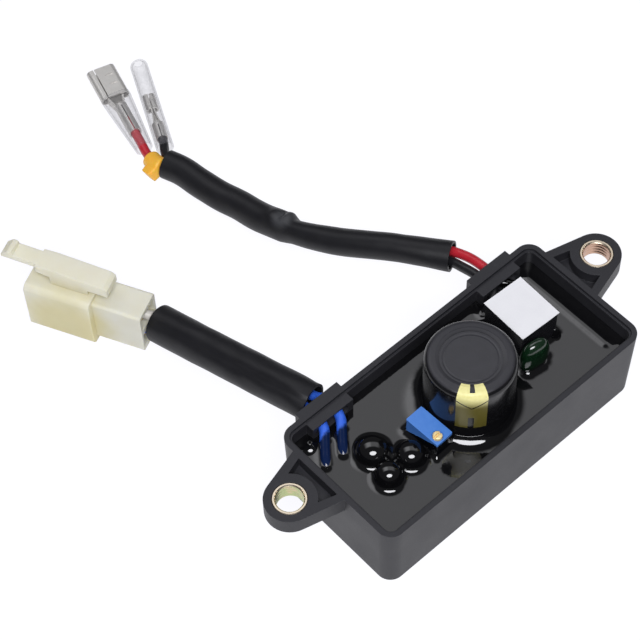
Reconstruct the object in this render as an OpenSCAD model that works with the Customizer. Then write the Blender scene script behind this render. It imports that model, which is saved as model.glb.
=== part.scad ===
// Automatic voltage regulator of a small generator, millimetres.
// A black moulded tray with two bolt ears holds a circuit board under glossy potting resin.
// +X runs along the tray, +Y is the side where the leads leave, +Z is up.
// The origin is the middle of the tray's underside.

/* [Tray] */
// Length of the tray between the outsides of its end walls
body_l = 78.3; // [74:0.1:90]
// Width of the tray across its long walls
body_w = 36; // [35:0.1:46]
// Height of the tray from its underside to the rim
body_h = 20.9; // [20:0.1:26]
// Thickness of the side walls
wall = 1.8; // [1.4:0.1:2.4]
// Thickness of the floor
floor_t = 1.8; // [1.2:0.1:2.6]
// Outside radius of the upright corners
corner_r = 3.5; // [2.8:0.1:6]
// Draft of the outside: how far each wall leans in at the underside
draft = 0.4; // [0:0.05:0.8]
// Width of the shallow step moulded round the inside of the rim
rim_step = 0.5; // [0.3:0.1:0.9]
// Depth of that step below the rim
rim_step_h = 0.8; // [0.4:0.1:1.5]

/* [Ears] */
// Distance from the end wall to the centre of the bolt hole
ear_reach = 8.35; // [7.5:0.05:14]
// Offset of the bolt line from the middle, towards the lead side
ear_y = 4.5; // [-5:0.1:5]
// Thickness of an ear
ear_t = 4.6; // [3.6:0.1:7]
// Radius of the round tip of an ear
ear_r = 5.8; // [5.2:0.1:8]
// Width of an ear where it meets the end wall
ear_root_w = 16.6; // [14:0.1:22]
// Depth of the recess between the bush boss and the wall
pocket_depth = 3; // [1:0.1:3.4]
// Wall left beside that recess
pocket_rim = 2.2; // [1.6:0.1:3]
// Outside diameter of a pressed-in steel bush
bush_od = 7.8; // [7:0.1:9]
// Bore of a bush, clear of a 6 mm bolt
bush_id = 6.2; // [5:0.1:6.6]

/* [Lead inlets] */
// Distance of each inlet from the middle of the tray
inlet_x = 26.4; // [24:0.1:30]
// Width of the thickened wall at an inlet
pad_w = 12.4; // [11:0.1:16]
// How far the pad stands out of the wall
pad_out = 1.5; // [0.8:0.1:3]
// How far the bar stands into the tray
bar_in = 2.2; // [1:0.1:3]
// Height of the pad below the rim
pad_h = 6.4; // [5.6:0.1:9]
// Width of the slot that the leads pass
slot_w = 9.6; // [8:0.1:10.4]
// Height of that slot
slot_h = 2.9; // [2.6:0.1:3.1]
// Thickness of the bridge over the slot
bridge_t = 1.3; // [0.9:0.1:2]

/* [Board and resin] */
// Thickness of the circuit board
board_t = 1.6; // [1:0.1:2.4]
// Gap between the board and the walls
board_gap = 0.6; // [0.3:0.1:1.2]
// Height of the posts that carry the board
post_h = 6.2; // [4:0.1:7]
// Diameter of a post
post_d = 4.4; // [3:0.1:6]
// Distance of the resin's surface below the rim
resin_drop = 4.6; // [4.4:0.1:6]
// Height to which the resin climbs round parts
meniscus = 0.9; // [0.4:0.1:1.4]

/* [Capacitor] */
// Diameter of the capacitor over its sleeve
cap_od = 20.7; // [16:0.1:21.5]
// Length of the capacitor
cap_l = 24.7; // [20:0.1:32]
// Thickness of the shrink sleeve
cap_skin = 0.35; // [0.2:0.05:0.6]
// Width of the sleeve's lip, turned over the top edge
cap_lip = 3.4; // [1.5:0.1:5]
// Radius of the can's top edge
cap_edge_r = 1.4; // [0.6:0.1:2.5]
// Spacing of the two terminals
cap_pitch = 10; // [7:0.1:12]

/* [Trimmer] */
// Width of the trimmer
trim_w = 4.83; // [4:0.01:5.2]
// Length of the trimmer
trim_l = 9.53; // [8:0.01:10]
// Height of the trimmer
trim_h = 10; // [8:0.1:12]
// Height of the trimmer's underside above the board
trim_lift = 1.9; // [0.5:0.1:3]
// Diameter of the adjusting screw
screw_d = 2.2; // [1.6:0.1:2.6]
// How far the screw stands out of the top
screw_out = 0.6; // [0.3:0.1:1]
// Width of the driver slot
screw_slot = 0.55; // [0.3:0.05:0.8]

/* [Boxed part] */
// Size along X of the boxed part with the white label
box_w = 10.6; // [8:0.1:11.5]
// Size along Y of the boxed part
box_l = 12.9; // [10:0.1:14]
// Height of the boxed part above the board
box_h = 15.6; // [12:0.1:18]
// Thickness of the label
label_t = 0.15; // [0.1:0.05:0.3]

/* [Connector] */
// Width of the shroud
shroud_w = 11.8; // [11:0.1:14]
// Height of the shroud
shroud_h = 15.6; // [15:0.1:18]
// Length of the shroud
shroud_l = 16.8; // [14:0.1:20]
// Wall of the shroud
shroud_wall = 1.2; // [0.8:0.1:1.5]
// Width of the narrow rear part
rear_w = 8.3; // [8:0.1:10]
// Height of the narrow rear part
rear_h = 13.2; // [12.6:0.1:14]
// Length of the narrow rear part
rear_l = 12.3; // [10:0.1:15]
// Spacing of the two contacts, one above the other
contact_pitch = 6.2; // [5.8:0.1:6.6]
// Width of a contact's tab
tab_w = 6.3; // [4.8:0.1:6.4]
// Thickness of a contact's tab
tab_t = 0.8; // [0.5:0.1:1]
// Width of the latch lever
lever_w = 5.4; // [4:0.1:7]
// Thickness of the latch lever
lever_t = 2; // [1.4:0.1:2.6]
// Width of the lever's hooked arm
arm_w = 4; // [3:0.1:5]

/* [Leads] */
// Diameter of an insulated lead
wire_d = 2.4; // [2:0.1:2.5]
// Outside diameter of the short sleeve
short_od = 9.4; // [8.8:0.1:9.4]
// Outside diameter of the long sleeve
long_od = 7.5; // [7.2:0.1:7.5]
// Wall of both sleeves
sleeve_wall = 0.6; // [0.4:0.1:0.8]
// Width of the large receptacle
spade_w = 7.7; // [6:0.1:8]
// Width of the small receptacle
small_w = 3.2; // [2.8:0.1:3.2]
// Thickness of the receptacles' sheet
sheet_t = 0.4; // [0.3:0.05:0.5]

/* [Hidden] */
$fn = 64;

// Clearance between the resin and what is cast into it, and between seated pieces
fit = 0.05;
// Radial clearance of the adjusting screw in its hole
screw_fit = 0.06;
// Overreach of a cutting shape past the face that it cuts
past = 1;

board_z = floor_t + post_h;
board_top = board_z + board_t;
board_l = body_l - 2 * wall - 2 * board_gap;
board_w = body_w - 2 * wall - 2 * board_gap;
resin_z = body_h - resin_drop;
inner_r = corner_r - wall;
base_l = body_l - 2 * draft;
base_w = body_w - 2 * draft;
hole_x = body_l / 2 + ear_reach;
boss_r = ear_r + 0.4;
slot_z = body_h - bridge_t - slot_h / 2;
pad_y = body_w / 2 + pad_out;
bar_y = body_w / 2 - wall - bar_in;

// Places of the parts on the board: some keep to the capacitor, the others to the far end wall
cap_at = [-0.2, -2];
trim_gap = 0.35;
trim_at = [cap_at.x - cap_od / 2 - trim_w / 2 - trim_gap, -3];
trim_turn = 2;
screw_at = [-0.6, -3.1];
box_at = [body_l / 2 - 17.5, 3.6];
box_turn = -2.5;
film_r = 1.9;
film_half = 1.7;
film_low = 7.8;
film_rise = 5.1;
film_gap = 0.5;
film_at = [box_at.x - 4.3, box_at.y - box_l / 2 - film_r - film_gap];
film_turn = -10;
thyristor_case = [7.8, 10.8, 2.7];
thyristor_hole_d = 3.2;
thyristor_at = [body_l / 2 - 6.6, 3];
// Each round-topped part: place and diameter
round_d = [7.4, 6.8, 6];
round_x = trim_at.x - trim_w / 2 - round_d[1] / 2 - 0.3;
rounds = [[round_x - 5.6, 2.6, round_d[0]], [round_x, -3.8, round_d[1]], [round_x - 7.2, -4.4, round_d[2]]];
diode_d = 2.7;
diode_body = 5.2;
diode_x = [for (i = [3 : -1 : 0]) body_l / 2 - 4.3 - 3.8 * i];
diode_y = 8 - body_w / 2;
resistor_d = 2.4;
resistor_body = 6.3;
resistor_x = [-13.5, -1.5, 10.5];
resistor_y = body_w / 2 - 5.3;
lead_d = 0.7;
cap_pin_d = 1.2;
trim_pin_d = 0.5;
trim_pin_pitch = 2.54;
box_pin_d = 0.8;
box_pin_inset = 1.8;
thyristor_pitch = 2.3;
thyristor_reach = 7.6;
diode_pitch = 8.4;
resistor_pitch = 10;
post_x = board_l / 2 - post_d / 2 - 0.4;
post_y = board_w / 2 - post_d / 2 - 0.4;

// Leads: hand-chosen points, in order from the board outwards
wire_z = slot_z;
blue_upper_in = [
    [-35.9, 5, board_top], [-35.9, 5, 11], [-35.7, 5.3, 13.1], [-35.2, 6.2, 14.9], [-34.2, 7.7, 16.1],
    [-32.6, 9.7, 16.8], [-31, 11.6, 17.4], [-29.5, 13.4, 17.9], [-28.7, 15.2, wire_z],
];
blue_lower_in = [
    [-31.1, 4.7, board_top], [-31.1, 4.7, 11], [-30.9, 5, 13.1], [-30.4, 5.9, 14.9], [-29.4, 7.4, 16.1],
    [-27.8, 9.4, 16.8], [-26.2, 11.3, 17.4], [-24.8, 13.2, 17.9], [-24.1, 15.2, wire_z],
];
red_in = [
    [30.6, 10.4, board_top], [30.6, 10.4, 13], [30, 11.4, 15.6], [28.6, 13, 17.6], [27.2, 15, wire_z],
];
black_in = [
    [18.6, 12.4, board_top], [18.6, 12.4, 13], [19.2, 12.4, 15.2], [20.7, 12.5, 17], [22.5, 13, 17.9],
    [24, 14.6, wire_z],
];
short_route = [
    [-26.4, 20.7, 17.3], [-26.9, 24, 16.7], [-28.6, 33, 15], [-30.6, 44.5, 12.5], [-32.6, 56.5, 9.9],
    [-34.2, 66, 7.8],
];
long_route = [
    [25, 29, 16.2], [18.5, 40, 14.8], [10, 55, 11], [7, 62.5, 9.2], [5.6, 68.5, 7.6], [4.5, 74.5, 6],
    [3.7, 81.5, 4.8], [2.5, 87.5, 4.1], [1.5, 94, 3.8], [0.6, 100.5, 3.8], [-0.7, 104.4, 3.8],
];
red_out = [[27.2, 20.5, wire_z], [27.2, 25, 17.3]];
black_out = [[24.3, 20.5, wire_z], [24, 24.6, 17.3]];
red_end = [[-2.2, 107.6, 2.9]];
black_end = [[1.8, 108.2, 2.8]];
marker_at = 0.25;

// Connector: middle of its rear face on the floor, and the heading of its axis
conn_at = [-35.8, 68];
conn_turn = 26.5;
// Receptacles: rear end of the wire barrel, and the heading of the axis
spade_at = [0.6, 118.6];
spade_turn = -16.4;
small_at = [4.3, 112.4];
small_turn = -25.8;
terminal_z = 2.3;

// Shape helpers

module rounded_rect(l, w, r) {
    square([l - 2 * r, w], center = true);
    square([l, w - 2 * r], center = true);
    for (x = [-1, 1], y = [-1, 1])
        translate([x * (l / 2 - r), y * (w / 2 - r)])
            circle(r);
}

// A rounded section with its middle at the origin, drawn out along +Y
module along_y(l, w, h, r) {
    rotate([-90, 0, 0])
        linear_extrude(l)
            rounded_rect(w, h, r);
}

function unit(v) = v / norm(v);

// Where the tangent from point q touches the circle round c
function tangent_point(q, c, r, side) =
    let (v = q - c, a = atan2(v.y, v.x) + side * acos(r / norm(v)))
    c + r * [cos(a), sin(a)];

function heading(p, i) =
    unit(p[min(i + 1, len(p) - 1)] - p[max(i - 1, 0)]);

// Points of a route moved off its line by d, turning from angle a0 to a1 on the way
function beside(p, d, a0, a1) = [
    for (i = [0 : len(p) - 1])
        let (t = heading(p, i), side = unit([t.y, -t.x, 0]), up = cross(side, t))
        let (a = a0 + (a1 - a0) * i / (len(p) - 1))
        p[i] + d * (cos(a) * side + sin(a) * up)
];

function ring(p, i, r, n) =
    let (t = heading(p, i), u = unit(cross(t, [1, 0, 0])), v = cross(u, t))
    [for (k = [0 : n - 1]) p[i] + r * (cos(360 * k / n) * u + sin(360 * k / n) * v)];

function skin(rows, n, first, step, flip) = [
    for (i = [0 : rows - 2], k = [0 : n - 1])
        let (a = first + i * step + k, b = first + i * step + (k + 1) % n)
        each flip
            ? [[a, a + step, b], [b, a + step, b + step]]
            : [[a, b, a + step], [b, b + step, a + step]]
];

// A round rod swept along a route
module swept_rod(p, d, n = 8) {
    rows = len(p);
    points = [for (i = [0 : rows - 1]) each ring(p, i, d / 2, n)];
    cap_a = [for (k = [n - 1 : -1 : 0]) k];
    cap_b = [for (k = [0 : n - 1]) (rows - 1) * n + k];
    polyhedron(points, concat([cap_a], skin(rows, n, 0, n, false), [cap_b]));
}

// A hollow sleeve swept along a route
module swept_sleeve(p, od, id, n = 12) {
    rows = len(p);
    points = [for (i = [0 : rows - 1]) each concat(ring(p, i, od / 2, n), ring(p, i, id / 2, n))];
    last = (rows - 1) * 2 * n;
    ends = [
        for (k = [0 : n - 1])
            let (j = (k + 1) % n)
            each [[k, n + k, j], [j, n + k, n + j],
                  [last + k, last + j, last + n + k], [last + j, last + n + j, last + n + k]]
    ];
    polyhedron(points, concat(skin(rows, n, 0, 2 * n, false), skin(rows, n, n, 2 * n, true), ends));
}

// Resin drawn up round an upright round part
module climb(r) {
    rotate_extrude()
        polygon(concat(
            [[r - 0.3, -0.3], [r - 0.3, meniscus]],
            [for (a = [0 : 15 : 90]) [r + meniscus * (1 - cos(a)), meniscus * (1 - sin(a))]],
            [[r + meniscus, -0.3]]));
}

// Tray

module ear_outline() {
    c = [hole_x, ear_y];
    wall_x = body_l / 2 - wall / 2;
    lo = [body_l / 2, ear_y - ear_root_w / 2];
    hi = [body_l / 2, ear_y + ear_root_w / 2];
    translate(c)
        circle(ear_r);
    polygon([
        [wall_x, lo.y], lo, tangent_point(lo, c, ear_r, 1), c,
        tangent_point(hi, c, ear_r, -1), hi, [wall_x, hi.y],
    ]);
}

module ear_recess() {
    x0 = body_l / 2 + 0.3;
    half = ear_root_w / 2 - pocket_rim;
    lean = (ear_root_w / 2 - ear_r) / ear_reach;
    difference() {
        polygon([
            [x0, ear_y - half], [hole_x, ear_y - half + lean * ear_reach],
            [hole_x, ear_y + half - lean * ear_reach], [x0, ear_y + half],
        ]);
        translate([hole_x, ear_y])
            circle(boss_r);
    }
}

module inlet_pad() {
    pad_bottom = body_h - pad_h;
    round_r = 1.2;
    translate([inlet_x, body_w / 2 - wall / 2, 0])
        rotate([-90, 0, 0])
            linear_extrude(wall / 2 + pad_out) {
                translate([-pad_w / 2, -body_h])
                    square([pad_w, pad_h - round_r]);
                translate([-pad_w / 2 + round_r, -body_h])
                    square([pad_w - 2 * round_r, pad_h]);
                for (s = [-1, 1])
                    translate([s * (pad_w / 2 - round_r), -pad_bottom - round_r])
                        circle(round_r);
            }
    translate([inlet_x - pad_w / 2, bar_y, pad_bottom])
        cube([pad_w - 0.4, bar_in + wall / 2, pad_h - rim_step_h]);
}

module lead_slot() {
    translate([inlet_x, bar_y - past, slot_z])
        rotate([-90, 0, 0])
            linear_extrude(bar_in + wall + pad_out + 2 * past)
                rounded_rect(slot_w, slot_h, slot_h / 2 - 0.05);
}

module housing() {
    color("#1d1e21")
        difference() {
            union() {
                difference() {
                    linear_extrude(body_h, scale = [body_l / base_l, body_w / base_w], slices = 1)
                        rounded_rect(base_l, base_w, corner_r, $fn = 48);
                    translate([0, 0, floor_t])
                        linear_extrude(body_h)
                            rounded_rect(body_l - 2 * wall, body_w - 2 * wall, inner_r);
                    translate([0, 0, body_h - rim_step_h])
                        linear_extrude(body_h)
                            rounded_rect(body_l - 2 * wall + 2 * rim_step,
                                         body_w - 2 * wall + 2 * rim_step, inner_r + rim_step);
                }
                for (side = [0, 1])
                    mirror([side, 0, 0]) {
                        translate([0, 0, body_h - ear_t])
                            linear_extrude(ear_t)
                                ear_outline();
                        inlet_pad();
                    }
                for (x = [-1, 1], y = [-1, 1])
                    translate([x * post_x, y * post_y, floor_t - 0.5])
                        cylinder(d = post_d, h = post_h + 0.5);
            }
            for (side = [0, 1])
                mirror([side, 0, 0]) {
                    translate([hole_x, ear_y, body_h - ear_t - past])
                        cylinder(d = bush_od + 2 * fit, h = ear_t + 2 * past);
                    translate([0, 0, body_h - pocket_depth])
                        linear_extrude(pocket_depth + past)
                            ear_recess();
                    lead_slot();
                }
        }
}

module mount_bush(side) {
    color("#b99a4e")
        translate([side * hole_x, ear_y, body_h - ear_t])
            difference() {
                cylinder(d = bush_od, h = ear_t);
                translate([0, 0, -past])
                    cylinder(d = bush_id, h = ear_t + 2 * past);
            }
}

// Board and its hidden parts

function lead_pairs() = concat(
    [for (x = diode_x, s = [-1, 1]) [x, diode_y + s * diode_pitch / 2]],
    [for (x = resistor_x, s = [-1, 1]) [x + s * resistor_pitch / 2, resistor_y]],
    [for (s = [-1, 0, 1]) [thyristor_at.x + s * thyristor_pitch, thyristor_at.y - thyristor_reach]]
);

module circuit_board() {
    color("#2f5b3a")
        difference() {
            translate([0, 0, board_z])
                linear_extrude(board_t)
                    rounded_rect(board_l, board_w, max(inner_r - board_gap, 0.4));
            for (p = lead_pairs())
                translate([p.x, p.y, board_z - past])
                    cylinder(d = lead_d + 2 * fit, h = board_t + 2 * past, $fn = 24);
            terminal_places()
                translate([0, 0, board_z - past])
                    cylinder(d = cap_pin_d + 2 * fit, h = board_t + 2 * past, $fn = 24);
            trimmer_places()
                translate([0, 0, board_z - past])
                    cylinder(d = trim_pin_d + 2 * fit, h = board_t + 2 * past, $fn = 24);
            box_places()
                translate([0, 0, board_z - past])
                    cylinder(d = box_pin_d + 2 * fit, h = board_t + 2 * past, $fn = 24);
        }
}

// A part with a round body lying on the board, its leads bent down through it
module axial_part(pitch, body, d, grow = 0) {
    lie = board_top + d / 2 + 0.1;
    translate([0, 0, lie])
        rotate([0, 90, 0]) {
            cylinder(d = d + 2 * grow, h = body + 2 * grow, center = true);
            cylinder(d = lead_d + 2 * grow, h = pitch, center = true, $fn = 24);
        }
    for (s = [-1, 1])
        translate([s * pitch / 2, 0, board_z]) {
            cylinder(d = lead_d + 2 * grow, h = lie - board_z, $fn = 24);
            translate([0, 0, lie - board_z])
                sphere(d = lead_d + 2 * grow, $fn = 24);
        }
}

module diode(i, grow = 0) {
    color("#26262a")
        translate([diode_x[i], diode_y, 0])
            rotate([0, 0, 90])
                axial_part(diode_pitch, diode_body, diode_d, grow);
}

module resistor(i, grow = 0) {
    color("#c9b48a")
        translate([resistor_x[i], resistor_y, 0])
            axial_part(resistor_pitch, resistor_body, resistor_d, grow);
}

module thyristor(grow = 0) {
    case = thyristor_case;
    color("#2b2b2e")
        translate([thyristor_at.x, thyristor_at.y, board_top]) {
            difference() {
                translate([-case.x / 2 - grow, -case.y / 2 - grow, 0.1 - grow])
                    cube([case.x + 2 * grow, case.y + 2 * grow, case.z + 2 * grow]);
                if (grow == 0)
                    translate([0, 1.6, -past])
                        cylinder(d = thyristor_hole_d, h = case.z + 3 * past);
            }
            for (s = [-1, 0, 1])
                translate([s * thyristor_pitch, 0, 0]) {
                    translate([-lead_d / 2 - grow, -thyristor_reach, 1.1 - grow])
                        cube([lead_d + 2 * grow, thyristor_reach - case.y / 2 + 0.2, 0.6 + 2 * grow]);
                    translate([0, -thyristor_reach, -board_t])
                        cylinder(d = lead_d + 2 * grow, h = board_t + 1.7 + grow, $fn = 24);
                }
        }
}

// Capacitor

module terminal_places() {
    for (s = [-1, 1])
        translate([cap_at.x + s * cap_pitch / 2, cap_at.y, 0])
            children();
}

module capacitor_can() {
    r = cap_od / 2 - cap_skin - fit;
    top = cap_l - cap_skin - 0.6;
    groove_z = 3;
    color("#b9bcc0")
        translate([cap_at.x, cap_at.y, board_top])
            rotate_extrude()
                polygon(concat(
                    [[0, 0.6], [r - 2, 0.6], [r - 1.2, 0.2], [r, 0.9]],
                    [for (a = [-90 : 15 : 90]) [r - 0.7 * cos(a), groove_z + 0.9 * sin(a)]],
                    [for (a = [0 : 15 : 90])
                        [r - cap_edge_r * (1 - cos(a)), top - cap_edge_r * (1 - sin(a))]],
                    [[0, top]]));
}

module capacitor_end_disc() {
    r = cap_od / 2 - cap_skin - cap_edge_r;
    ring_r = 6.1;
    color("#2c2d31")
        translate([cap_at.x, cap_at.y, board_top + cap_l - cap_skin - 0.6 + fit])
            rotate_extrude()
                polygon([
                    [0, 0], [r, 0], [r, 0.5], [ring_r + 0.35, 0.5], [ring_r, 0.4],
                    [ring_r - 0.35, 0.5], [0, 0.5],
                ]);
}

// The printed sleeve: shrunk over the can's rim, top and bottom
module capacitor_sleeve() {
    r = cap_od / 2;
    lip_r = r - cap_lip;
    under_r = r - cap_skin - cap_edge_r;
    under = cap_l - cap_skin;
    edge = cap_edge_r + cap_skin;
    low = 0.5;
    color("#232428")
        translate([cap_at.x, cap_at.y, board_top])
            rotate_extrude()
                polygon(concat(
                    [[r - cap_skin, low], [r, low]],
                    [for (a = [0 : 15 : 90]) [r - edge * (1 - cos(a)), cap_l - edge * (1 - sin(a))]],
                    [[lip_r, cap_l], [lip_r, under]],
                    [for (a = [90 : -15 : 0])
                        [under_r + cap_edge_r * cos(a), under - cap_edge_r * (1 - sin(a))]]));
}

module capacitor_terminals() {
    color("#c9ccd0")
        terminal_places()
            translate([0, 0, board_z])
                cylinder(d = cap_pin_d, h = board_t + 0.6 - fit, $fn = 24);
}

// Trimmer

module at_trimmer(z = 0) {
    translate([trim_at.x, trim_at.y, z])
        rotate([0, 0, trim_turn])
            children();
}

module trimmer_places() {
    at_trimmer()
        for (s = [-1, 0, 1])
            translate([0, s * trim_pin_pitch, 0])
                children();
}

module trimmer_body(grow = 0) {
    foot = 0.6;
    color("#2f6fc4")
        at_trimmer(board_top + trim_lift)
            difference() {
                union() {
                    translate([0, 0, foot - grow])
                        linear_extrude(trim_h - foot + grow)
                            rounded_rect(trim_w + 2 * grow, trim_l + 2 * grow, 0.3);
                    for (s = [-1, 1])
                        translate([-trim_w / 2, s * (trim_l / 2 - 0.6) - 0.5, -grow])
                            cube([trim_w, 1, foot + 0.1]);
                }
                translate([screw_at.x, screw_at.y, trim_h - 4])
                    cylinder(r = screw_d / 2 + screw_fit, h = 4 + past);
                translate([screw_at.x, screw_at.y, trim_h - 0.25])
                    cylinder(d = screw_d + 0.6, h = past);
            }
}

module trimmer_screw() {
    head_h = 4 - fit + screw_out;
    color("#d9b25a")
        at_trimmer(board_top + trim_lift + trim_h + screw_out - head_h)
            translate([screw_at.x, screw_at.y, 0])
                difference() {
                    union() {
                        cylinder(d = screw_d, h = head_h - 0.2);
                        translate([0, 0, head_h - 0.2])
                            cylinder(d1 = screw_d, d2 = screw_d - 0.4, h = 0.2);
                    }
                    translate([-screw_d, -screw_slot / 2, head_h - 0.7])
                        cube([2 * screw_d, screw_slot, past + 0.7]);
                }
}

module trimmer_pins() {
    color("#c9ccd0")
        trimmer_places()
            translate([0, 0, board_z])
                cylinder(d = trim_pin_d, h = board_t + trim_lift + 0.6 - fit, $fn = 24);
}

// Round-topped parts, wetted over by the resin
module small_capacitor(i, grow = 0) {
    r = rounds[i].z / 2 + grow;
    side_h = resin_z + 0.4 - board_top;
    dome_h = 0.86 * r;
    color("#17181b")
        translate([rounds[i].x, rounds[i].y, board_top])
            rotate_extrude()
                polygon(concat(
                    [[0, -grow], [r, -grow]],
                    [for (a = [0 : 10 : 80]) [r * cos(a), side_h + dome_h * sin(a)]],
                    [[0, side_h + dome_h]]));
}

// Dipped film part: a flat rounded lozenge on two leads
module film_capacitor(grow = 0) {
    low = film_low;
    top = low + film_rise;
    color("#1f4a2c")
        translate([film_at.x, film_at.y, board_top])
            rotate([0, 0, film_turn]) {
                hull()
                    for (s = [-1, 1]) {
                        translate([s * film_half, 0, low])
                            sphere(r = film_r + grow, $fn = 20);
                        translate([s * 0.8 * film_half, 0, top + 0.4 * s])
                            sphere(r = 0.92 * film_r + grow, $fn = 20);
                    }
                for (s = [-1, 1])
                    translate([s * film_half, 0, 0])
                        cylinder(d = lead_d + 2 * grow, h = low, $fn = 24);
            }
}

// Boxed part with a blank white label

module at_box(z = 0) {
    translate([box_at.x, box_at.y, z])
        rotate([0, 0, box_turn])
            children();
}

module box_places() {
    at_box()
        for (x = [-1, 1], y = [-1, 1])
            translate([x * (box_w / 2 - box_pin_inset), y * (box_l / 2 - box_pin_inset), 0])
                children();
}

module boxed_part(grow = 0) {
    color("#1b1b1e")
        at_box(board_top + 0.1 - grow)
            linear_extrude(box_h - 0.1 - label_t + grow)
                rounded_rect(box_w + 2 * grow, box_l + 2 * grow, 0.5);
}

module boxed_part_label() {
    color("#f2f2f0")
        at_box(board_top + box_h - label_t)
            linear_extrude(label_t)
                rounded_rect(box_w - 0.2, box_l - 0.2, 0.25);
}

module boxed_part_pins() {
    color("#c9ccd0")
        box_places()
            translate([0, 0, board_z])
                cylinder(d = box_pin_d, h = board_t + 0.1 - fit, $fn = 24);
}

// Potting resin, cast round everything on the board

module potting_resin() {
    color("#101114")
        difference() {
            union() {
                translate([0, 0, floor_t + fit])
                    linear_extrude(resin_z - floor_t - fit)
                        rounded_rect(body_l - 2 * wall - 2 * fit,
                                     body_w - 2 * wall - 2 * fit, inner_r - fit);
                translate([cap_at.x, cap_at.y, resin_z])
                    climb(cap_od / 2);
                for (p = rounds)
                    translate([p.x, p.y, resin_z])
                        climb(p.z / 2);
            }
            for (side = [0, 1])
                mirror([side, 0, 0])
                    translate([inlet_x - pad_w / 2 - fit, bar_y - fit, body_h - pad_h - fit])
                        cube([pad_w - 0.4 + 2 * fit, body_w, pad_h]);
            for (x = [-1, 1], y = [-1, 1])
                translate([x * post_x, y * post_y, 0])
                    cylinder(d = post_d + 2 * fit, h = board_z + past);
            translate([0, 0, board_z - fit])
                linear_extrude(board_t + 2 * fit)
                    rounded_rect(board_l + 2 * fit, board_w + 2 * fit, max(inner_r - board_gap, 0.4) + fit);
            translate([cap_at.x, cap_at.y, board_top - past])
                cylinder(d = cap_od + 2 * fit, h = cap_l);
            for (i = [0 : len(rounds) - 1])
                translate([rounds[i].x, rounds[i].y, board_top - past])
                    cylinder(d = rounds[i].z + 2 * fit, h = cap_l);
            at_trimmer(board_top - past)
                linear_extrude(cap_l)
                    rounded_rect(trim_w + 2 * fit, trim_l + 2 * fit, 0.3 + fit);
            at_box(board_top - past)
                linear_extrude(cap_l)
                    rounded_rect(box_w + 2 * fit, box_l + 2 * fit, 0.5 + fit);
            film_capacitor(fit);
            thyristor(fit);
            for (i = [0 : len(diode_x) - 1])
                diode(i, fit);
            for (i = [0 : len(resistor_x) - 1])
                resistor(i, fit);
            for (p = [blue_upper_in, blue_lower_in, red_in, black_in])
                swept_rod(p, wire_d + 4 * fit);
        }
}

// Leads and sleeves

blue_spread = 1.9;
pair_spread = 1.45;
conn_axis = [-sin(conn_turn), cos(conn_turn), 0];
rear_lift = (shroud_h - rear_h) / 2;
contact_z = rear_lift + rear_h / 2;

function on_connector(y, z) =
    [conn_at.x, conn_at.y, z] + y * conn_axis;

function on_terminal(at, turn, y) =
    [at.x - sin(turn) * y, at.y + cos(turn) * y, terminal_z];

function blue_route(inside, a0, a1, level) =
    concat(inside, [[inside[len(inside) - 1].x, pad_y, wire_z]], beside(short_route, blue_spread, a0, a1),
           [on_connector(1, level), on_connector(5.5, level)]);

red_route = concat(red_in, red_out, beside(long_route, pair_spread, 0, 180), red_end,
                   [for (y = [-8, -3, 5]) on_terminal(spade_at, spade_turn, y)]);
black_route = concat(black_in, black_out, beside(long_route, pair_spread, 180, 360), black_end,
                     [for (y = [-1.5, 4]) on_terminal(small_at, small_turn, y)]);

module blue_wire_upper() {
    color("#1f55b8")
        swept_rod(blue_route(blue_upper_in, 180, 90, contact_z + contact_pitch / 2), wire_d);
}

module blue_wire_lower() {
    color("#1f55b8")
        swept_rod(blue_route(blue_lower_in, 0, -90, contact_z - contact_pitch / 2), wire_d);
}

module red_wire() {
    color("#b01e2c")
        swept_rod(red_route, wire_d);
}

module black_wire() {
    color("#1a1a1c")
        swept_rod(black_route, wire_d);
}

module sleeve_short() {
    color("#202124")
        swept_sleeve(short_route, short_od, short_od - 2 * sleeve_wall);
}

module sleeve_long() {
    color("#202124")
        swept_sleeve(long_route, long_od, long_od - 2 * sleeve_wall);
}

// A soft yellow marker on the red lead, just outside the long sleeve: a ring with a lobe hung on it
module wire_marker() {
    n = len(long_route) + len(red_in) + len(red_out);
    a = red_route[n];
    b = red_route[n + 1];
    t = unit(b - a);
    bore = wire_d / 2 + 0.3;
    ring_low = -2;
    lobe_at = [0, 2.6, -3];
    lobe_r = 1.8;
    lobe_half = 1.6;
    reach = 5;
    color("#f0a51e")
        translate(a + marker_at * (b - a))
            rotate([0, acos(t.z), atan2(t.y, t.x)])
                difference() {
                    union() {
                        rotate_extrude()
                            polygon([
                                [0, ring_low], [1.9, ring_low], [2.3, -1.4], [2.4, 0.3], [2.2, 1.2],
                                [1.8, 1.6], [0, 1.6],
                            ]);
                        translate(lobe_at)
                            rotate_extrude()
                                polygon([
                                    [0, -lobe_half], [lobe_r - 0.6, -lobe_half], [lobe_r, -0.9],
                                    [lobe_r, 0.9], [lobe_r - 0.5, lobe_half], [0, lobe_half],
                                ]);
                    }
                    translate([0, 0, -reach])
                        cylinder(r = bore, h = 2 * reach);
                    translate([0, 0, ring_low - reach])
                        cylinder(r = bore + 0.6, h = reach);
                }
}

// Connector: shroud with a latch lever, narrow rear part with two contact channels

module at_connector() {
    translate([conn_at.x, conn_at.y, 0])
        rotate([0, 0, conn_turn])
            children();
}

web_t = 3.6;
channel_w = tab_w + 0.6;
channel_h = 4.6;

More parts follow.
